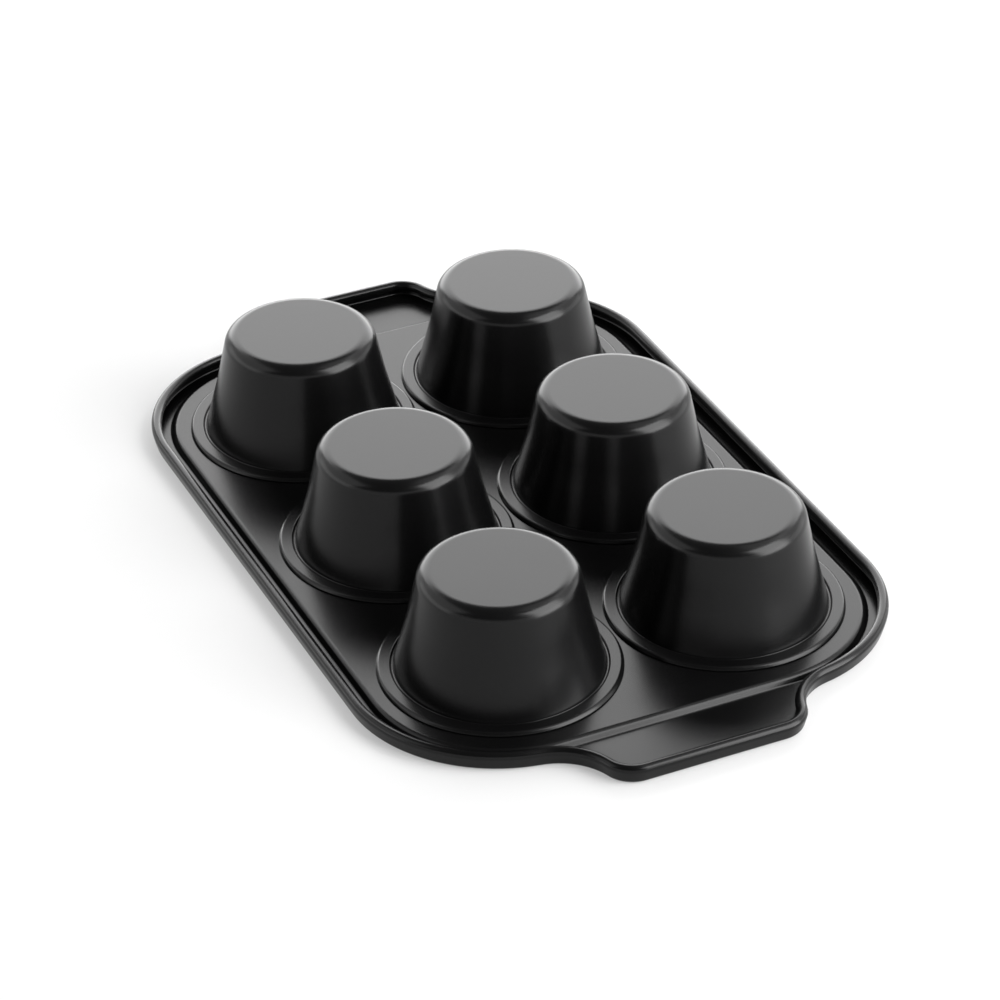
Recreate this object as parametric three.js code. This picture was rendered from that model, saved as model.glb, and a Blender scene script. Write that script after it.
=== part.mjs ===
// Six-cup muffin pan of coated sheet steel, in millimetres, +Z up.
// It stands upside down on its handles and rim, cups up, the way such a pan is put away.
// The origin is on the surface that it stands on, under the middle of the pan.
// X runs across the pan, and Y runs along it from the front handle to the back one.

import * as THREE from 'three';
import { mergeVertices } from 'three/addons/utils/BufferGeometryUtils.js';

// Sheet
const sheet = 0.6;               // thickness of the steel, everywhere

// Cups, measured on the outside of the wall
const cupMouthRadius = 34.2;     // where the wall would meet the brim's face
const cupBaseRadius = 26.4;      // where the wall would meet the base
const cupHeight = 36.9;          // from the brim's face to the base
const baseBend = 5;              // round edge between wall and base, outside
const footBend = 3.8;            // hollow curve between wall and brim, outside
const rows = ['front', 'middle', 'back'];
const columns = ['left', 'right'];

// Brims: flat rings at the open ends of the cups, turned down at the edge over raised seats of the deck
const brimWidth = 2.95;          // flat ring, from the foot of the wall outwards, at mid-sheet
const brimRise = 1.5;            // face of the brim above the deck
const brimRun = 0.9;             // how far the turned-down edge would slope outwards on its way to the deck
const seatClearance = 0.3;       // between seat and turned-down edge, and between hole and cup
const edgeClearance = 0.1;       // between the turned-down edge and the deck

// Deck
const landAcross = 1;            // deck between two neighbouring brims, across the pan
const landAlong = 2;             // the same, along the pan
const sideMargin = 4.75;         // deck between the outer brims and the step, at the sides
const endMargin = 6.4;           // the same, at the ends
const deckRise = 2.3;            // deck above the channel
const stepRun = 1.6;             // width of the slope down to the channel, without its bends
const stepTopBend = 1.8;         // bend from the deck into that slope, at mid-sheet
const stepFootBend = 1.3;        // bend from the slope into the channel, at mid-sheet

// Channel, flange and curled edge
const channelWidth = 4.65;       // from the foot of the flange to the foot of the step, at the ends
const sideChannelWidth = 5.9;    // the same, at the sides
const flangeHeight = 6.6;        // top of the bead above the surface that the pan stands on
const flangeBend = 1.2;          // bend between floor and flange, at mid-sheet
const flangeLean = THREE.MathUtils.degToRad(14);   // how far the flange leans outwards
const wireDiameter = 2;
const wireClearance = 0.3;
const curlSweep = THREE.MathUtils.degToRad(250);   // how far the edge is rolled round the wire

// Outline, along the outermost line of the bead
const cornerRadius = 53.2;       // round corners of the body
const handleReach = 21;          // how far a handle stands out past the body
const handleEdge = 50.4;         // straight outer edge of a handle
const handleCorner = 11.8;       // round corners of a handle
const neckRadius = 20;           // hollow curve from the body to a handle

// Facets
const cupSides = 24;
const cornerSteps = 7;
const neckSteps = 4;
const handleSteps = 4;
const stepTopSteps = 3;
const stepFootSteps = 2;
const flangeBendSteps = 2;
const baseBendSteps = 3;
const footBendSteps = 3;
const curlSteps = 8;
const wireSides = 6;
const weld = 1e-4;               // points closer than this are one point

// Finishes
const coating = { color: '#1b1b1c', roughness: 0.42, metalness: 0.1 };
const bareSteel = { color: '#9a9c9f', roughness: 0.35, metalness: 1 };

// Derived sizes
const midSheet = sheet / 2;
const wallLean = Math.atan2(cupMouthRadius - cupBaseRadius, cupHeight);
const brimSlope = Math.atan2(brimRise, brimRun);
const deckTop = sheet + deckRise;
const brimTop = deckTop + brimRise;
const seatTop = brimTop - sheet;
const baseTop = brimTop + cupHeight;
const beadRadius = wireDiameter / 2 + wireClearance + sheet;
const beadMid = beadRadius - midSheet;
const beadHeight = flangeHeight - beadRadius;
const footRadius = cupMouthRadius + footBend * Math.tan((Math.PI / 2 - wallLean) / 2);
const brimRadius = footRadius + brimWidth;
const brimFoot = brimRadius + brimRun;
const seatFoot = brimFoot - (sheet + seatClearance) / Math.sin(brimSlope);
const seatRadius = seatFoot - (seatTop - deckTop) / Math.tan(brimSlope);
const holeRadius = footRadius + seatClearance;
const pitchAcross = 2 * brimFoot + landAcross;
const pitchAlong = 2 * brimFoot + landAlong;
const flangeOffset = (beadMid - (beadHeight - midSheet) * Math.sin(flangeLean)) / Math.cos(flangeLean);
const flangeFoot = beadRadius - flangeOffset;
const stepFoot = flangeFoot + channelWidth;
const deckInset = stepFoot + stepRun;
const sideShift = sideChannelWidth - channelWidth;
const halfWidth = (columns.length - 1) * pitchAcross / 2 + brimFoot + sideMargin + deckInset + sideShift;
const halfLength = (rows.length - 1) * pitchAlong / 2 + brimFoot + endMargin + deckInset;

// Radius of a cup's outer wall at a height.
function wallRadius(z) {
  return cupMouthRadius - (z - brimTop) * Math.tan(wallLean);
}

// Bent sheet, drawn as a profile

// A line through corners given as [x, y, bend radius, steps]: its points, with the normals to its left.
// A corner without a bend is mitred.
function bentLine(corners) {
  const spots = corners.map(([x, y]) => new THREE.Vector2(x, y));
  const headings = spots.slice(1).map((spot, i) => spot.clone().sub(spots[i]).angle());
  return corners.flatMap(([, , bend = 0, steps = 1], i) => {
    const from = headings[Math.max(i - 1, 0)];
    const to = headings[Math.min(i, headings.length - 1)];
    const turn = Math.atan2(Math.sin(to - from), Math.cos(to - from));
    const leftOf = (angle) => new THREE.Vector2(-Math.sin(angle), Math.cos(angle));
    if (bend === 0) {
      return [{ at: spots[i], normal: leftOf(from + turn / 2).divideScalar(Math.cos(turn / 2)) }];
    }
    const side = Math.sign(turn) * bend;
    const toCentre = leftOf(from + turn / 2).multiplyScalar(side / Math.cos(turn / 2));
    const centre = spots[i].clone().add(toCentre);
    return Array.from({ length: steps + 1 }, (_, k) => {
      const normal = leftOf(from + turn * k / steps);
      return { at: centre.clone().addScaledVector(normal, -side), normal };
    });
  });
}

// The two faces of the sheet whose middle follows a line: to the left of the line and to the right.
function sheetFaces(line) {
  const face = (offset) => line.map(({ at, normal }) => at.clone().addScaledVector(normal, offset));
  return { left: face(midSheet), right: face(-midSheet) };
}

// Closed skins, made of bands between rings of points and of level plates

class Skin {
  constructor() {
    this.corners = [];
  }

  // Bands between rings that all run anticlockwise, seen from above, with as many points each.
  bands(rings) {
    rings.slice(1).forEach((ring, r) => rings[r].forEach((point, i) => {
      const next = (i + 1) % ring.length;
      this.corners.push(point, rings[r][next], ring[next], point, ring[next], ring[i]);
    }));
  }

  // A level plate inside a ring, with round holes, facing up or down.
  plate(outline, holes, facesUp) {
    const flat = (ring) => ring.map(({ x, y }) => new THREE.Vector2(x, y));
    const points = [outline, ...holes].flat();
    THREE.ShapeUtils.triangulateShape(flat(outline), holes.map(flat)).forEach((face) => {
      const [a, b, c] = face.map((index) => points[index]);
      const turnsLeft = (b.x - a.x) * (c.y - a.y) > (b.y - a.y) * (c.x - a.x);
      this.corners.push(...(turnsLeft === facesUp ? [a, b, c] : [a, c, b]));
    });
  }

  geometry() {
    return mergeVertices(new THREE.BufferGeometry().setFromPoints(this.corners), weld);
  }
}

// Rings of points

function roundRing(centre, radius, z) {
  return Array.from({ length: cupSides }, (_, i) => {
    const angle = 2 * Math.PI * i / cupSides;
    const x = centre.x + radius * Math.cos(angle);
    const y = centre.y + radius * Math.sin(angle);
    return new THREE.Vector3(x, y, z);
  });
}

// Points on an arc from one angle to another, without the first one.
function arcPoints(centre, radius, from, to, steps) {
  return Array.from({ length: steps }, (_, i) => {
    const angle = THREE.MathUtils.lerp(from, to, (i + 1) / steps);
    const x = centre.x + radius * Math.cos(angle);
    const y = centre.y + radius * Math.sin(angle);
    return new THREE.Vector2(x, y);
  });
}

// A whole ring from its quarter at +X +Y, which runs from the side of the pan to its end.
function ringFromQuarter(quarter, z) {
  const back = [...quarter].reverse();
  const turned = (points, sideways, lengthways) =>
    points.map(({ x, y }) => new THREE.Vector3(sideways * x, lengthways * y, z));
  return [
    ...turned(quarter, 1, 1),
    ...turned(back, -1, 1),
    ...turned(quarter, -1, -1),
    ...turned(back, 1, -1),
  ];
}

// The point at given distances from two others, on the side away from the pan's middle line.
function centreBetween(first, firstDistance, second, secondDistance) {
  const span = second.distanceTo(first);
  const along = (firstDistance ** 2 - secondDistance ** 2 + span ** 2) / (2 * span);
  const off = Math.sqrt(firstDistance ** 2 - along ** 2);
  const way = second.clone().sub(first).divideScalar(span);
  return new THREE.Vector2(first.x + way.x * along + way.y * off, first.y + way.y * along - way.x * off);
}

const cornerCentre = new THREE.Vector2(halfWidth - cornerRadius, halfLength - cornerRadius);
const handleCentre = new THREE.Vector2(handleEdge / 2, halfLength + handleReach - handleCorner);
const neckCentre = centreBetween(
  cornerCentre,
  cornerRadius + neckRadius,
  handleCentre,
  handleCorner + neckRadius,
);

// The outline of the body without its handles, moved inwards by an inset, and further at the sides.
// It has as many points as the outline with handles, so that bands can join the two.
function bodyRing({ x: inset, y: z }) {
  const centre = new THREE.Vector2(cornerCentre.x - sideShift, cornerCentre.y);
  const end = halfLength - inset;
  const endSteps = neckSteps + handleSteps;
  const endPoints = Array.from({ length: endSteps }, (_, i) =>
    new THREE.Vector2(THREE.MathUtils.lerp(centre.x, handleEdge / 2, (i + 1) / endSteps), end));
  const quarter = [
    new THREE.Vector2(halfWidth - sideShift - inset, centre.y),
    ...arcPoints(centre, cornerRadius - inset, 0, Math.PI / 2, cornerSteps),
    ...endPoints,
  ];
  return ringFromQuarter(quarter, z);
}

// The outline of the pan with its handles, moved inwards by an inset.
// A quarter of it is a round corner, a hollow neck and the corner of a handle.
function panRing({ x: inset, y: z }) {
  const toNeck = neckCentre.clone().sub(cornerCentre).angle();
  const neckToHandle = handleCentre.clone().sub(neckCentre).angle();
  const handleToNeck = neckToHandle - Math.PI;
  const quarter = [
    new THREE.Vector2(halfWidth - inset, cornerCentre.y),
    ...arcPoints(cornerCentre, cornerRadius - inset, 0, toNeck, cornerSteps),
    ...arcPoints(neckCentre, neckRadius + inset, toNeck + Math.PI, neckToHandle, neckSteps),
    ...arcPoints(handleCentre, handleCorner - inset, handleToNeck, Math.PI / 2, handleSteps),
  ];
  return ringFromQuarter(quarter, z);
}

// Frame: one pressed sheet, from the holes for the cups to the curled edge

// Profiles of the frame as points of inset and height. Both reach the flat floor of the channel.
function stepFaces() {
  const line = bentLine([
    [deckInset + stepTopBend, deckTop - midSheet],
    [deckInset, deckTop - midSheet, stepTopBend, stepTopSteps],
    [stepFoot, midSheet, stepFootBend, stepFootSteps],
    [flangeFoot, midSheet],
  ]);
  return sheetFaces(line.slice(1, -1));
}

function flangeFaces() {
  const curlCentre = new THREE.Vector2(beadRadius, beadHeight);
  const curl = Array.from({ length: curlSteps + 1 }, (_, k) => {
    const angle = Math.PI + flangeLean - curlSweep * k / curlSteps;
    const normal = new THREE.Vector2(Math.cos(angle), Math.sin(angle));
    return { at: curlCentre.clone().addScaledVector(normal, beadMid), normal };
  });
  const line = bentLine([
    [stepFoot, midSheet],
    [flangeFoot, midSheet, flangeBend, flangeBendSteps],
    curl[0].at.toArray(),
  ]);
  return sheetFaces([...line.slice(1, -1), ...curl]);
}

// Profile of a seat as points of radius and height, from the edge of its hole to the deck.
function seatFaces() {
  const line = bentLine([
    [holeRadius, seatTop - midSheet],
    [seatRadius, seatTop - midSheet],
    [seatFoot, deckTop - midSheet],
    [brimFoot, deckTop - midSheet],
  ]);
  return sheetFaces(line.slice(0, -1));
}

function frameGeometry(centres) {
  const skin = new Skin();
  const step = stepFaces();
  const flange = flangeFaces();
  const under = [...step.left.map(bodyRing), ...flange.left.map(panRing)];
  const over = [...step.right.map(bodyRing), ...flange.right.map(panRing)];
  skin.bands([...under, ...over.toReversed()]);

  const seat = seatFaces();
  const holesAbove = [];
  const holesBelow = [];
  centres.forEach((centre) => {
    const ringAt = ({ x: radius, y: z }) => roundRing(centre, radius, z);
    const above = seat.left.map(ringAt);
    const below = seat.right.map(ringAt);
    skin.bands([...above.toReversed(), ...below]);
    holesAbove.push(above.at(-1));
    holesBelow.push(below.at(-1));
  });
  skin.plate(over[0], holesAbove, true);
  skin.plate(under[0], holesBelow, false);
  return skin.geometry();
}

// Cup: one drawn shell, with a brim that lies on its seat

function cupGeometry() {
  const wallMid = (z) => wallRadius(z) - midSheet / Math.cos(wallLean);
  const baseMid = baseTop - midSheet;
  const brimMid = brimTop - midSheet;
  const edgeMid = deckTop + edgeClearance + midSheet * Math.cos(brimSlope);
  const { left: outside, right: inside } = sheetFaces(bentLine([
    [0, baseMid],
    [wallMid(baseMid), baseMid, baseBend - midSheet, baseBendSteps],
    [wallMid(brimMid), brimMid, footBend + midSheet, footBendSteps],
    [brimRadius, brimMid],
    [brimRadius + (brimMid - edgeMid) / Math.tan(brimSlope), edgeMid],
  ]));
  return new THREE.LatheGeometry([...inside, ...outside.toReversed()], cupSides).rotateX(Math.PI / 2);
}

// Wire inside the curled edge, a closed loop round the pan

function wireGeometry() {
  const skin = new Skin();
  const rings = Array.from({ length: wireSides + 1 }, (_, i) => {
    const angle = -2 * Math.PI * (i % wireSides) / wireSides;
    const reach = wireDiameter / 2;
    return panRing({ x: beadRadius + reach * Math.cos(angle), y: beadHeight + reach * Math.sin(angle) });
  });
  skin.bands(rings);
  return skin.geometry();
}

// Assembly

function piece(name, geometry, finish) {
  const mesh = new THREE.Mesh(geometry, new THREE.MeshStandardMaterial(finish));
  mesh.name = name;
  return mesh;
}

const pan = new THREE.Group();
const places = rows.flatMap((row, j) => columns.map((column, i) => ({
  name: `cup_${row}_${column}`,
  x: (i - (columns.length - 1) / 2) * pitchAcross,
  y: (j - (rows.length - 1) / 2) * pitchAlong,
})));
pan.add(piece('frame', frameGeometry(places), coating));
places.forEach(({ name, x, y }) => {
  const cup = piece(name, cupGeometry(), coating);
  cup.position.set(x, y, 0);
  pan.add(cup);
});
pan.add(piece('rim_wire', wireGeometry(), bareSteel));

export default pan;
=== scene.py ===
# %% [markdown]
# # A muffin pan in satin black
#
# The pan is pressed from thin steel sheet, carries six drawn cups, and stands upside down.
# A solid model already fixes every size and place, so this lesson only adds the fine surface,
# the finish, the studio and the camera. The solid model could be shown as it is, but its round
# parts are faceted. So each piece is made again here as a smooth sheet at the same size.

# %% Load the solid model
import math

import bmesh
import bpy
from mathutils import Matrix, Vector


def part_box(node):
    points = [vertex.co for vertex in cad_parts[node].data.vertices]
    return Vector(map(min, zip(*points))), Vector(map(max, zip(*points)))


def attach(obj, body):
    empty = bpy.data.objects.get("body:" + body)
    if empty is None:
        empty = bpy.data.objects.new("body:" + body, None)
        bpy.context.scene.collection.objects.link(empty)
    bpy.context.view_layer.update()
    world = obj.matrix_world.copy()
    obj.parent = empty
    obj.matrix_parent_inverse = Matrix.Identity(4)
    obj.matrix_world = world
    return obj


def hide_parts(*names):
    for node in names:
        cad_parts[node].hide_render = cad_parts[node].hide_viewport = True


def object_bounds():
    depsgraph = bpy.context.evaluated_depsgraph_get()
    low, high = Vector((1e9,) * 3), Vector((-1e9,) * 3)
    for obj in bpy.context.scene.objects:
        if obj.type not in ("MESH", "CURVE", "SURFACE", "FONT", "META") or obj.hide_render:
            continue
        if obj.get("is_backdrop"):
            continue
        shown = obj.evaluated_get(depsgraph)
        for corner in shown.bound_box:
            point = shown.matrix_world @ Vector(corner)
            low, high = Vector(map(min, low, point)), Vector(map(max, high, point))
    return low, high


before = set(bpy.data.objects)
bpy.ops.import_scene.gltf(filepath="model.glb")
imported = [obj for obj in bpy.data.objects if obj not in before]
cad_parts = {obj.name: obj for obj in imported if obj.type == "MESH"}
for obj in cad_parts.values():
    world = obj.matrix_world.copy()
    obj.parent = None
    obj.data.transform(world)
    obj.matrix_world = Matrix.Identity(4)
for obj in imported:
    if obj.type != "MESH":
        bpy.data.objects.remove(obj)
cad_low, cad_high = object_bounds()
print("pieces:", ", ".join(sorted(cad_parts)))
print("box in mm:", [round(1000 * size, 1) for size in cad_high - cad_low])

# %% [markdown]
# ## Places and heights
#
# Whatever the solid model can tell is read from it: how far the pan reaches, where each cup
# stands and how high, and the height of the wire in the rim. The small sizes of the bent sheet
# can't be read from a box, so each is written once, in metres, where it is first needed.

# %% Read places and heights
MM = 0.001
SHEET = 0.6 * MM
MID = SHEET / 2

pan_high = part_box("frame")[1]
wire_low, wire_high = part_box("rim_wire")
cup_names = sorted(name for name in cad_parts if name.startswith("cup_"))
cup_boxes = {name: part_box(name) for name in cup_names}

half_width = pan_high.x
handle_end = pan_high.y
bead_height = (wire_low.z + wire_high.z) / 2
bead_radius = pan_high.z - bead_height
base_top = cup_boxes[cup_names[0]][1].z
print(f"bases {base_top / MM:.1f} mm high, wire {bead_height / MM:.1f} mm high, cups: {len(cup_names)}")

# %% [markdown]
# ## Bent sheet as a line
#
# Every edge of the pan is a strip of sheet, bent here and there with a small radius. Its cut
# is easiest to draw as a line through corners, each with its bend. A bend could be left to a
# Bevel modifier, but then its radius would depend on the mesh, and here it is a real size.
# Close to each bend the line gets a holding point, so that the smooth shading of the bend
# doesn't run out over the flat sheet beside it.

# %% A line with round bends
BEND_STEP = math.radians(8)
HOLD = 0.12 * MM


def bent_line(corners):
    """Points of a line through (x, y, bend radius) corners, as (x, y) vectors."""
    points = [Vector(corners[0][:2])]
    for before, (x, y, bend), after in zip(corners, corners[1:], corners[2:]):
        corner = Vector((x, y))
        back = (Vector(before[:2]) - corner).normalized()
        onward = (Vector(after[:2]) - corner).normalized()
        half = back.angle(onward) / 2
        reach = bend / math.tan(half)
        centre = corner + (back + onward).normalized() * bend / math.sin(half)
        start = corner + back * reach - centre
        turn = math.copysign(math.pi - 2 * half, onward.cross(back))
        steps = max(2, round(abs(turn) / BEND_STEP))
        points.append(corner + back * (reach + HOLD))
        points += [centre + Matrix.Rotation(turn * k / steps, 2) @ start for k in range(steps + 1)]
        points.append(corner + onward * (reach + HOLD))
    points.append(Vector(corners[-1][:2]))
    return points


square_bend = bent_line([(0, 0, 0), (10 * MM, 0, 2 * MM), (10 * MM, 10 * MM, 0)])
print("points of a line with one square bend:", len(square_bend))

# %% [markdown]
# ## Rings
#
# A pressed pan is one outline, moved inwards and up or down step by step. So each point of the
# bent line becomes a ring round the pan, and neighbouring rings are joined by faces. The cups
# and their seats are the same with round rings.

# %% Round rings and arcs
ROUND_STEPS = 120


def round_ring(centre, radius, z):
    """A level circle."""
    angles = [2 * math.pi * i / ROUND_STEPS for i in range(ROUND_STEPS)]
    across = [(radius * math.cos(a), radius * math.sin(a)) for a in angles]
    return [Vector((centre.x + x, centre.y + y, z)) for x, y in across]


def arc(centre, radius, start, end, steps):
    """Points of an arc, without the first one."""
    angles = [start + (end - start) * (i + 1) / steps for i in range(steps)]
    return [Vector((centre.x + radius * math.cos(a), centre.y + radius * math.sin(a))) for a in angles]


print("points in a round ring:", len(round_ring(Vector(), 1, 0)))

# %% [markdown]
# ## The arcs of the outline
#
# From the side of the pan to its end, the outline runs round a corner of the body, through a
# hollow neck, and round a corner of the handle. Three arcs that touch each other give it without
# a kink. The corners have set centres, and the neck's centre follows from them: it lies as far
# from each as that corner's radius and its own together.

# %% Centres of the arcs
BODY_CORNER = 53.2 * MM
HANDLE_REACH = 21 * MM
HANDLE_EDGE = 50.4 * MM
HANDLE_CORNER = 11.8 * MM
NECK = 20 * MM


def point_between(first, first_reach, second, second_reach):
    """The point at given distances from two others, on the outer side of the line between them."""
    way = second - first
    along = (first_reach**2 - second_reach**2 + way.length_squared) / (2 * way.length)
    off = math.sqrt(first_reach**2 - along**2)
    way.normalize()
    return first + way * along + Vector((way.y, -way.x)) * off


half_length = handle_end - HANDLE_REACH
corner_centre = Vector((half_width - BODY_CORNER, half_length - BODY_CORNER))
handle_centre = Vector((HANDLE_EDGE / 2, handle_end - HANDLE_CORNER))
neck_centre = point_between(corner_centre, BODY_CORNER + NECK, handle_centre, HANDLE_CORNER + NECK)
print("centre of a neck in mm:", [round(x / MM, 1) for x in neck_centre])

# %% [markdown]
# ## Rings round the pan
#
# The pan is the same on both sides of its two middle planes, so one quarter of a ring is drawn
# and mirrored. The step inside the rim follows the body alone, with a wider channel along the
# sides, and the flange follows the handles too. Both kinds of ring have as many points, and so
# the flat floor of a handle is only one more pair of rings.

# %% Rings with and without handles
CORNER_STEPS = 24
NECK_STEPS = 12
HANDLE_STEPS = 12
CHANNEL = 4.65 * MM
SIDE_CHANNEL = 5.9 * MM


def whole_ring(quarter, z):
    """A ring round the pan from its quarter at +X +Y, which runs from the side to the end."""
    back = quarter[::-1]
    signs = [(quarter, 1, 1), (back, -1, 1), (quarter, -1, -1), (back, 1, -1)]
    return [Vector((sx * p.x, sy * p.y, z)) for points, sx, sy in signs for p in points]


def body_ring(inset, z):
    """The outline of the body without its handles, moved inwards."""
    steps = NECK_STEPS + HANDLE_STEPS
    shares = [(i + 1) / steps for i in range(steps)]
    centre = corner_centre - Vector((SIDE_CHANNEL - CHANNEL, 0))
    run = HANDLE_EDGE / 2 - centre.x
    quarter = [Vector((centre.x + BODY_CORNER - inset, centre.y))]
    quarter += arc(centre, BODY_CORNER - inset, 0, math.pi / 2, CORNER_STEPS)
    quarter += [Vector((centre.x + run * share, half_length - inset)) for share in shares]
    return whole_ring(quarter, z)


def heading(start, end):
    """Direction from one point to another, as an angle from 0 to a whole turn."""
    return math.atan2(end.y - start.y, end.x - start.x) % (2 * math.pi)


def pan_ring(inset, z):
    """The outline of the pan with its handles, moved inwards."""
    to_neck = heading(corner_centre, neck_centre)
    to_handle = heading(neck_centre, handle_centre)
    quarter = [Vector((half_width - inset, corner_centre.y))]
    quarter += arc(corner_centre, BODY_CORNER - inset, 0, to_neck, CORNER_STEPS)
    quarter += arc(neck_centre, NECK + inset, to_neck + math.pi, to_handle, NECK_STEPS)
    quarter += arc(handle_centre, HANDLE_CORNER - inset, to_handle - math.pi, math.pi / 2, HANDLE_STEPS)
    return whole_ring(quarter, z)


print("points in a ring round the pan:", len(body_ring(0, 0)), "and", len(pan_ring(0, 0)))

# %% [markdown]
# ## From rings to a mesh
#
# Rings with as many points are easy to join: two points of one ring and the two beside them on
# the next ring make a face with four sides. A Screw modifier could turn the round pieces, but
# not the frame, and so one loft serves them all.

# %% Lofts
def loft(mesh, rings):
    """Joins rings of points by faces, and returns the rings' vertices."""
    made = [[mesh.verts.new(point) for point in ring] for ring in rings]
    for inner, outer in zip(made, made[1:]):
        for i in range(len(inner)):
            mesh.faces.new((inner[i - 1], inner[i], outer[i], outer[i - 1]))
    return made


def ring_edges(mesh, ring):
    """The edges along a ring of vertices."""
    return [mesh.edges.get((ring[i - 1], ring[i])) for i in range(len(ring))]


def place(name, mesh):
    """A new object with this mesh, smooth shaded."""
    bmesh.ops.recalc_face_normals(mesh, faces=mesh.faces)
    data = bpy.data.meshes.new(name)
    mesh.to_mesh(data)
    mesh.free()
    data.shade_smooth()
    piece = bpy.data.objects.new(name, data)
    bpy.context.scene.collection.objects.link(piece)
    return piece


print("faces between two round rings:", ROUND_STEPS)

# %% [markdown]
# ## From a mesh to a sheet
#
# The mesh holds only the middle of the sheet. The Solidify modifier then gives it its
# thickness on both sides, as real sheet has, and a small Bevel takes the sharpness off the
# cut edges, where the coating runs round. Modelling both faces by hand would work too, but
# a change of thickness would then be a change of every ring.

# %% Sheet with cut edges
EDGE_ROUND = 0.12 * MM
EDGE_ANGLE = math.radians(60)


def thicken(piece):
    """Gives the middle of a sheet its two faces and its cut edges."""
    sheet = piece.modifiers.new("sheet", "SOLIDIFY")
    sheet.thickness = SHEET
    sheet.offset = 0
    sheet.use_even_offset = True
    edge = piece.modifiers.new("cut edge", "BEVEL")
    edge.width = EDGE_ROUND
    edge.segments = 2
    edge.limit_method = "ANGLE"
    edge.angle_limit = EDGE_ANGLE
    edge.harden_normals = True
    return piece


print(f"sheet {SHEET / MM:.1f} mm thick, cut edges rounded by {EDGE_ROUND / MM:.2f} mm")

# %% [markdown]
# ## Where a cup sits
#
# Each cup stands in a hole of the frame, and its brim caps a raised seat round that hole. The
# sizes are worked out from the cup outwards, which keeps the pieces in step: the lean of the
# wall gives the foot, the foot gives the hole and the brim, and the brim gives the seat under
# it, with an even gap between the two sheets.

# %% Sizes of the cups and their seats
CUP_MOUTH = 34.2 * MM
CUP_BASE = 26.4 * MM
CUP_HEIGHT = 36.9 * MM
FOOT_BEND = 3.8 * MM
BRIM_WIDTH = 2.95 * MM
BRIM_RISE = 1.5 * MM
BRIM_RUN = 0.9 * MM
SEAT_GAP = 0.3 * MM

brim_top = base_top - CUP_HEIGHT
deck_top = brim_top - BRIM_RISE
seat_top = brim_top - SHEET
wall_lean = math.atan2(CUP_MOUTH - CUP_BASE, CUP_HEIGHT)
brim_slope = math.atan2(BRIM_RISE, BRIM_RUN)

foot_radius = CUP_MOUTH + FOOT_BEND * math.tan((math.pi / 2 - wall_lean) / 2)
hole_radius = foot_radius + SEAT_GAP
brim_radius = foot_radius + BRIM_WIDTH
brim_foot = brim_radius + BRIM_RUN
seat_foot = brim_foot - (SHEET + SEAT_GAP) / math.sin(brim_slope)
seat_radius = seat_foot - (seat_top - deck_top) / math.tan(brim_slope)
print(f"cups lean {math.degrees(wall_lean):.1f} degrees, holes {2 * hole_radius / MM:.1f} mm wide")

# %% [markdown]
# ## The cut of the rim
#
# The sheet leaves the deck by a sloped step, runs level through a channel, rises in a flange
# that leans outwards, and ends in a curl round a wire. Each point of this cut says how far it
# lies inside the outline, and how high. The curl is an arc of its own, because it turns much
# further than a bend of the sheet. The flange touches the curl, which gives the flange's foot.

# %% Draw the cut of the rim
STEP_RUN = 1.6 * MM
STEP_TOP_BEND = 1.8 * MM
STEP_FOOT_BEND = 1.3 * MM
FLANGE_BEND = 1.2 * MM
FLANGE_LEAN = math.radians(14)
CURL_SWEEP = math.radians(250)
CURL_STEPS = 24

curl_middle = bead_radius - MID
lean_reach = (bead_height - MID) * math.sin(FLANGE_LEAN)
flange_foot = bead_radius - (curl_middle - lean_reach) / math.cos(FLANGE_LEAN)
step_foot = flange_foot + CHANNEL
deck_inset = step_foot + STEP_RUN

curl_turns = [math.pi + FLANGE_LEAN - CURL_SWEEP * k / CURL_STEPS for k in range(CURL_STEPS + 1)]
curl_centre = Vector((bead_radius, bead_height))
curl_line = [curl_centre + curl_middle * Vector((math.cos(turn), math.sin(turn))) for turn in curl_turns]
flange_line = bent_line([
    (step_foot, MID, 0),
    (flange_foot, MID, FLANGE_BEND),
    (curl_line[0].x, curl_line[0].y, 0),
])[1:-1]
step_line = bent_line([
    (deck_inset + STEP_RUN, deck_top - MID, 0),
    (deck_inset, deck_top - MID, STEP_TOP_BEND),
    (step_foot, MID, STEP_FOOT_BEND),
    (flange_foot, MID, 0),
])[1:-1]
print("points in the cut of the rim:", len(step_line + flange_line + curl_line))

# %% [markdown]
# ## The frame
#
# The frame is one pressing: the deck with its six raised seats, the rim and the floors of the
# two handle tabs. The rings of the rim run from the deck out to the curl. Each seat is a round
# loft of its own, and the level deck between them all is filled by triangles, which don't show
# because it is flat.

# %% Make the frame
SEAT_BEND = 0.3 * MM

seat_line = bent_line([
    (hole_radius, seat_top - MID, 0),
    (seat_radius, seat_top - MID, SEAT_BEND),
    (seat_foot, deck_top - MID, SEAT_BEND),
    (seat_foot + BRIM_RUN, deck_top - MID, 0),
])[:-1]
seat_line.insert(1, Vector((hole_radius + HOLD, seat_top - MID)))

mesh = bmesh.new()
rim_rings = [body_ring(p.x, p.y) for p in step_line]
rim_rings += [pan_ring(p.x, p.y) for p in flange_line + curl_line]
deck_edges = ring_edges(mesh, loft(mesh, rim_rings)[0])
for low, high in cup_boxes.values():
    centre = (low + high) / 2
    seat = loft(mesh, [round_ring(centre, p.x, p.y) for p in seat_line])
    deck_edges += ring_edges(mesh, seat[-1])
bmesh.ops.triangle_fill(mesh, edges=deck_edges, use_beauty=True, normal=(0, 0, 1))
pan_frame = thicken(place("pan_frame", mesh))
print("frame faces in the middle sheet:", len(pan_frame.data.polygons))

# %% [markdown]
# ## The cut of a cup
#
# A muffin cup is drawn from a flat disc. It has a level base with a round edge, and a leaning
# wall whose lower half flares a little more. A fine groove runs round the foot of the wall, and
# beyond it a brim lies on the frame's seat, with its edge turned down. The flare could be a
# curve of its own, but a bend with a very large radius does the same.

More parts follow.
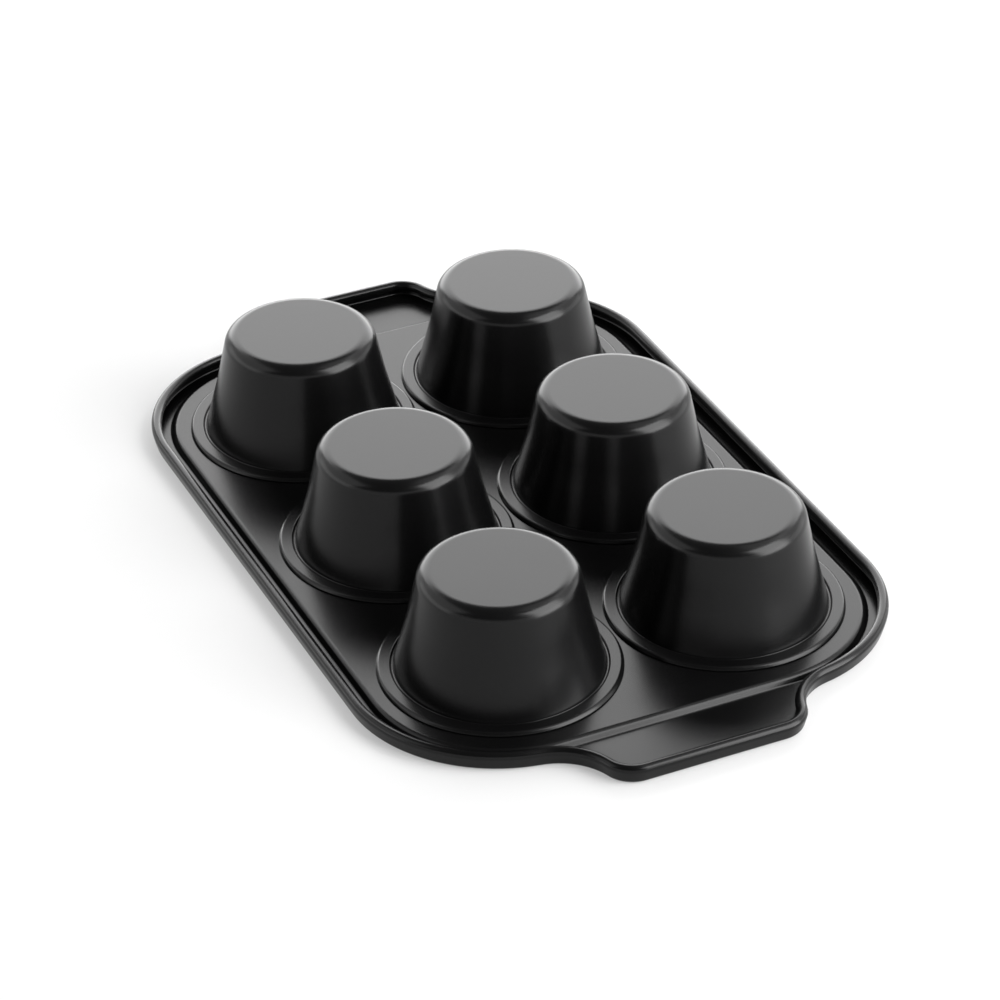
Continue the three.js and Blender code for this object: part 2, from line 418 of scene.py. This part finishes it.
# %% Draw the cut of a cup
BASE_BEND = 5 * MM
FLARE_HEIGHT = 18 * MM
FLARE_BEND = 120 * MM
FLARE_FOOT = 35.5 * MM
FLARE_FOOT_BEND = 0.3 * MM
GROOVE_EDGE = 36.65 * MM
GROOVE_DEPTH = 0.55 * MM
GROOVE_RUN = 0.6 * MM
GROOVE_BEND = 0.15 * MM
BRIM_BEND = 0.9 * MM
EDGE_GAP = 0.1 * MM


def wall_radius(z):
    """Radius of a cup's outer wall at a height, above the flare."""
    return CUP_MOUTH - (z - brim_top) * math.tan(wall_lean)


base_middle = base_top - MID
brim_middle = brim_top - MID
brim_edge = deck_top + EDGE_GAP + MID * math.cos(brim_slope)
wall_shift = MID / math.cos(wall_lean)
flare_top = brim_middle + FLARE_HEIGHT
groove_floor = brim_middle - GROOVE_DEPTH
cup_line = bent_line([
    (0, base_middle, 0),
    (wall_radius(base_middle) - wall_shift, base_middle, BASE_BEND - MID),
    (wall_radius(flare_top) - wall_shift, flare_top, FLARE_BEND),
    (FLARE_FOOT - wall_shift, groove_floor, FLARE_FOOT_BEND + MID),
    (GROOVE_EDGE - GROOVE_RUN, groove_floor, GROOVE_BEND),
    (GROOVE_EDGE, brim_middle, GROOVE_BEND),
    (brim_radius, brim_middle, BRIM_BEND),
    (brim_radius + (brim_middle - brim_edge) / math.tan(brim_slope), brim_edge, 0),
])
print("points in the cut of a cup:", len(cup_line))

# %% [markdown]
# ## The cups
#
# The line of its cut, turned round the cup's axis, is the whole cup. The base closes with a fan
# of triangles round one point in the middle, where a ring would shrink to nothing.

# %% Make the six cups
def turned(centre, line):
    """A mesh from a line that starts on an upright axis and is turned round it."""
    mesh = bmesh.new()
    first_ring = loft(mesh, [round_ring(centre, p.x, p.y) for p in line[1:]])[0]
    middle = mesh.verts.new((centre.x, centre.y, line[0].y))
    for i in range(ROUND_STEPS):
        mesh.faces.new((first_ring[i - 1], first_ring[i], middle))
    return mesh


cups = []
for name, (low, high) in cup_boxes.items():
    mesh = turned((low + high) / 2, cup_line)
    cups.append(thicken(place(name.replace("cup", "drawn_cup"), mesh)))
print("cups:", ", ".join(cup.name for cup in cups))

# %% [markdown]
# ## The wire in the rim
#
# The curled edge is rolled round a steel wire that keeps the thin rim stiff. It hardly shows,
# but from below the gap of the curl lets it be seen. It is a loft of rings like the frame,
# closed on itself.

# %% Make the wire
WIRE_RADIUS = 1 * MM
WIRE_SIDES = 14

mesh = bmesh.new()
wire_turns = [2 * math.pi * k / WIRE_SIDES for k in range(WIRE_SIDES)]
wire_rings = loft(mesh, [
    pan_ring(bead_radius + WIRE_RADIUS * math.cos(turn), bead_height + WIRE_RADIUS * math.sin(turn))
    for turn in wire_turns
])
first_ring, last_ring = wire_rings[0], wire_rings[-1]
for i in range(len(first_ring)):
    mesh.faces.new((last_ring[i - 1], last_ring[i], first_ring[i], first_ring[i - 1]))
rim_wire = place("steel_rim_wire", mesh)
print("wire faces:", len(rim_wire.data.polygons))

# %% [markdown]
# ## Writing shaders as sums
#
# A material is a tree of nodes, and its arithmetic is long to wire by hand. Here a small class
# stands for one output of a node. Adding or multiplying such outputs adds the Math node that
# does it, so a shader reads like a formula, also where a plain number comes first.

# %% Outputs that can be reckoned with
class Field:
    """An output of a node, with arithmetic."""

    def __init__(self, nodes, socket):
        self.nodes = nodes
        self.socket = socket

    def also(self, output):
        """Another output of the same node."""
        return Field(self.nodes, self.socket.node.outputs[output])

    def reckon(self, operation, first, second):
        """The result of a Math node."""
        return self.nodes.add("ShaderNodeMath", {"operation": operation}, {0: first, 1: second})

    def __add__(self, other):
        return self.reckon("ADD", self, other)

    def __radd__(self, other):
        return self.reckon("ADD", other, self)

    def __mul__(self, other):
        return self.reckon("MULTIPLY", self, other)

    def __rmul__(self, other):
        return self.reckon("MULTIPLY", other, self)


print("ways to reckon:", ", ".join(name for name in vars(Field) if name.startswith("__r")))

# %% [markdown]
# ## Nodes of a material
#
# Every other node comes from one method, which takes its type, its settings and what its
# sockets are fed with. Colours are mixed by a Mix node, because a Math node would turn them
# grey. That node keeps sockets for every kind of value, and only numbers tell those for colours
# from the rest.

# %% Materials from nodes
MIX_FACTOR = 0
MIX_FIRST_COLOUR = 6
MIX_SECOND_COLOUR = 7
MIXED_COLOUR = 2


class Nodes:
    """A new material and its nodes."""

    def __init__(self, name):
        self.material = bpy.data.materials.new(name)
        self.material.use_nodes = True
        self.tree = self.material.node_tree
        self.tree.nodes.clear()

    def add(self, kind, settings, inputs, output=0):
        """Adds a node, sets it up, feeds its sockets, and returns one of its outputs."""
        node = self.tree.nodes.new(kind)
        for name, value in settings.items():
            setattr(node, name, value)
        for key, value in inputs.items():
            if isinstance(value, Field):
                self.tree.links.new(value.socket, node.inputs[key])
            else:
                node.inputs[key].default_value = value
        return Field(self, node.outputs[output]) if node.outputs else None

    def mix_colours(self, factor, first, second):
        """A colour between two others."""
        inputs = {MIX_FACTOR: factor, MIX_FIRST_COLOUR: first, MIX_SECOND_COLOUR: second}
        return self.add("ShaderNodeMix", {"data_type": "RGBA"}, inputs, output=MIXED_COLOUR)

    def surface(self, shader):
        """Makes a shader the look of the surface, and returns the finished material."""
        self.add("ShaderNodeOutputMaterial", {}, {"Surface": shader})
        return self.material


print("steps of a material:", ", ".join(name for name in vars(Nodes) if not name.startswith("_")))

# %% [markdown]
# ## Satin black coating
#
# The coating is sprayed on and baked. It is nearly black, and its look comes from the satin
# gloss: light from behind lies on every level face as an even grey. Under a lens it has the
# faint orange peel of sprayed paint and a cloudy change of gloss, which keep it from looking
# like plastic in a computer.

# %% Make the coating
COATING_DARK = (0.002, 0.002, 0.0021, 1)
COATING_LIGHT = (0.0032, 0.0032, 0.0033, 1)
CLOUD_SCALE = 55.0
SATIN = 0.21
SATIN_CHANGE = 0.07
PEEL_SCALE = 900.0
PEEL_STRENGTH = 0.08
PEEL_DEPTH = 0.05 * MM

nodes = Nodes("satin_coating")
on_pan = nodes.add("ShaderNodeTexCoord", {}, {}, output="Object")
peel = nodes.add("ShaderNodeTexNoise", {}, {"Vector": on_pan, "Scale": PEEL_SCALE, "Detail": 2.0})
cloud = nodes.add("ShaderNodeTexNoise", {}, {"Vector": on_pan, "Scale": CLOUD_SCALE, "Detail": 3.0})
bump = {"Strength": PEEL_STRENGTH, "Distance": PEEL_DEPTH, "Height": peel}
coating = nodes.surface(nodes.add("ShaderNodeBsdfPrincipled", {}, {
    "Base Color": nodes.mix_colours(cloud, COATING_DARK, COATING_LIGHT),
    "Roughness": SATIN + SATIN_CHANGE * cloud,
    "IOR": 1.3,
    "Normal": nodes.add("ShaderNodeBump", {}, bump),
}))
for piece in [pan_frame, *cups]:
    piece.data.materials.append(coating)
print("coating nodes:", len(coating.node_tree.nodes))

# %% [markdown]
# ## Drawn steel wire
#
# The wire is bare steel, drawn through a die, which leaves it bright with a fine grain. One
# noise serves for both the colour and the gloss, so that they change at the same spots.

# %% Make the wire's steel
STEEL_DARK = (0.32, 0.32, 0.33, 1)
STEEL_LIGHT = (0.44, 0.44, 0.45, 1)
GRAIN_SCALE = 1500.0
POLISH = 0.25
POLISH_CHANGE = 0.2

nodes = Nodes("drawn_steel")
on_pan = nodes.add("ShaderNodeTexCoord", {}, {}, output="Object")
grain = nodes.add("ShaderNodeTexNoise", {}, {"Vector": on_pan, "Scale": GRAIN_SCALE, "Detail": 3.0})
steel = nodes.surface(nodes.add("ShaderNodeBsdfPrincipled", {}, {
    "Base Color": nodes.mix_colours(grain, STEEL_DARK, STEEL_LIGHT),
    "Roughness": POLISH + POLISH_CHANGE * grain,
    "Metallic": 1.0,
}))
rim_wire.data.materials.append(steel)
print("wire material:", steel.name)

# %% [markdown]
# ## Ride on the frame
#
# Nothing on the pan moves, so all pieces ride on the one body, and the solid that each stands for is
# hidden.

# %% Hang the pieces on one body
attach(pan_frame, "root")
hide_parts("frame")
for cup, name in zip(cups, cup_boxes):
    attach(cup, "root")
    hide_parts(name)
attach(rim_wire, "root")
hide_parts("rim_wire")
print("pieces that ride:", len(cups) + 2)

# %% [markdown]
# ## Directions in the studio
#
# The camera and the lamps are easier to place as a photographer sees them than along the pan's
# own axes. So a direction is given by how far it turns to the right of straight away from the
# camera, and by how high it rises, both in degrees.

# %% Reckon directions
CAMERA_AZIMUTH = math.radians(-24.54)

away = Vector((-math.sin(CAMERA_AZIMUTH), math.cos(CAMERA_AZIMUTH), 0))
right = Vector((math.cos(CAMERA_AZIMUTH), math.sin(CAMERA_AZIMUTH), 0))
up = Vector((0, 0, 1))


def studio_direction(turn, rise):
    """A direction by its angle to the right of straight away from the camera, and its height."""
    turn, rise = math.radians(turn), math.radians(rise)
    return (away * math.cos(turn) + right * math.sin(turn)) * math.cos(rise) + up * math.sin(rise)


print("straight away from the camera:", [round(x, 3) for x in studio_direction(0, 0)])

# %% [markdown]
# ## The camera
#
# The photograph was taken with a long lens from the front left, about a third of a right angle
# above the table. The angle, distance and lens were worked out from the six round bases and
# the straight rims, and the small roll and shift of aim are what was left over.

# %% Set up the camera
CAMERA_ELEVATION = 32.85
CAMERA_ROLL = math.radians(-0.76)
CAMERA_DISTANCE = 1354.9 * MM
CAMERA_AIM = (-2.23 * MM, 5.5 * MM)
CAMERA_LENS = 139.1

backward = studio_direction(180, CAMERA_ELEVATION)
upward = backward.cross(right)
rolled_right = right * math.cos(CAMERA_ROLL) + upward * math.sin(CAMERA_ROLL)
rolled_up = upward * math.cos(CAMERA_ROLL) - right * math.sin(CAMERA_ROLL)
spot = rolled_right * CAMERA_AIM[0] + rolled_up * CAMERA_AIM[1] + backward * CAMERA_DISTANCE
axes = Matrix((rolled_right, rolled_up, backward)).transposed()

lens = bpy.data.cameras.new("camera")
lens.lens = CAMERA_LENS
camera = bpy.data.objects.new("camera", lens)
camera.matrix_world = Matrix.Translation(spot) @ axes.to_4x4()
bpy.context.scene.collection.objects.link(camera)
bpy.context.scene.camera = camera
print("camera stands at", [round(x, 3) for x in spot])

# %% [markdown]
# ## The floor
#
# The pan stands on a level floor that curves up into a low wall far off, as a studio's paper
# does. It lies a hair below the pan, because two faces in one place would flicker. It is turned
# from a line like the cups, and its faces look inwards and up.

# %% Make the floor
FLOOR_REACH = 4.0
FLOOR_DROP = 0.1 * MM
COVE_BEND = 1.0
COVE_HEIGHT = 1.5

floor_line = bent_line([
    (0, -FLOOR_DROP, 0),
    (FLOOR_REACH, -FLOOR_DROP, COVE_BEND),
    (FLOOR_REACH, COVE_HEIGHT, 0),
])
floor = place("floor", turned(Vector(), floor_line))
floor.data.flip_normals()
floor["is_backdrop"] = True
print("floor faces up:", floor.data.polygons[-1].normal.z > 0)

# %% [markdown]
# ## White paper
#
# The photograph has a white ground with a faint shadow under the rim. The paper takes the light
# of the lamps, so it keeps that shadow, and it also glows for the camera and in reflections,
# more so away from the pan where the lamps don't reach, so that it comes out as white. Seen
# from below it is clear, and so the hollow side of the pan can be looked at.

# %% Make the paper
PAPER = (0.4, 0.4, 0.4, 1)
BLACK = (0, 0, 0, 1)
WHITE = (1, 1, 1, 1)
NEAR_GLOW = (0.34, 0.34, 0.34, 1)
GLOW_RISE = (0.35, 1.5)

nodes = Nodes("white_paper")
on_floor = nodes.add("ShaderNodeTexCoord", {}, {}, output="Object")
away_from_pan = nodes.add("ShaderNodeVectorMath", {"operation": "LENGTH"}, {0: on_floor}, output="Value")
rise = {"Value": away_from_pan, "From Min": GLOW_RISE[0], "From Max": GLOW_RISE[1]}
far = nodes.add("ShaderNodeMapRange", {"interpolation_type": "SMOOTHSTEP"}, rise)
camera_ray = nodes.add("ShaderNodeLightPath", {}, {}, output="Is Camera Ray")
seen = camera_ray + camera_ray.also("Is Glossy Ray") + camera_ray.also("Is Transmission Ray")
paper = nodes.add("ShaderNodeBsdfPrincipled", {}, {
    "Base Color": PAPER,
    "Roughness": 0.9,
    "Specular IOR Level": 0.0,
    "Emission Color": nodes.mix_colours(seen, BLACK, nodes.mix_colours(far, NEAR_GLOW, WHITE)),
    "Emission Strength": 1.0,
})
clear = nodes.add("ShaderNodeBsdfTransparent", {}, {})
from_below = nodes.add("ShaderNodeNewGeometry", {}, {}, output="Backfacing")
both_sides = nodes.add("ShaderNodeMixShader", {}, {0: from_below, 1: paper, 2: clear})
floor.data.materials.append(nodes.surface(both_sides))
print("paper nodes:", len(nodes.tree.nodes))

# %% [markdown]
# ## Soft light
#
# A black satin object shows its lamps more than its colour. A large softbox behind it lies on
# the level faces as an even grey. Those beside and above it draw the round edges of the bases
# and the rim, where each shows as a streak, and so their places could be read from the streaks.
# Distances and sizes are in metres, and the level is the brightness of the lamp's face.

# %% Hang the softboxes
def softbox(name, turn, rise, distance, width, height, level):
    """A rectangular soft lamp that faces the pan, as bright all over as its level says."""
    lamp = bpy.data.lights.new(name, "AREA")
    lamp.shape = "RECTANGLE"
    lamp.size = width
    lamp.size_y = height
    lamp.energy = level * math.pi * width * height
    holder = bpy.data.objects.new(name, lamp)
    direction = studio_direction(turn, rise)
    holder.location = direction * distance
    holder.rotation_mode = "QUATERNION"
    holder.rotation_quaternion = direction.to_track_quat("Z", "Y")
    holder.visible_camera = False
    bpy.context.scene.collection.objects.link(holder)


softbox("back_softbox", turn=1, rise=22, distance=1.7, width=2.45, height=1.6, level=5.0)
softbox("right_softbox", turn=115, rise=27, distance=1.2, width=0.9, height=1.2, level=9.5)
softbox("left_softbox", turn=-84, rise=31, distance=1.2, width=1.6, height=1.25, level=1.5)
softbox("side_softbox", turn=68, rise=28, distance=1.2, width=0.85, height=1.3, level=1.6)
softbox("top_softbox", turn=82, rise=62, distance=1.2, width=0.8, height=0.65, level=1.4)

# %% [markdown]
# ## The room
#
# A studio's walls throw a little light back from all sides. An even, weak world stands for them,
# so that no side of the pan is without any light. The Standard view shows colours as they are
# written.

# %% Light the room
ROOM_LIGHT = 0.12

world = bpy.data.worlds.new("studio")
world.use_nodes = True
background = world.node_tree.nodes["Background"]
background.inputs["Color"].default_value = WHITE
background.inputs["Strength"].default_value = ROOM_LIGHT
bpy.context.scene.world = world
bpy.context.scene.view_settings.view_transform = "Standard"
print("world:", world.name)

# %% [markdown]
# ## The size
#
# The dressed pan should fill the same box as the solid model, so both boxes are printed side by side.

# %% Print the boxes
low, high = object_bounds()
boxes = {"cad": [list(cad_low), list(cad_high)], "visual": [list(low), list(high)]}
print("boxes in mm:", [[round(1000 * x, 2) for corner in box for x in corner] for box in boxes.values()])
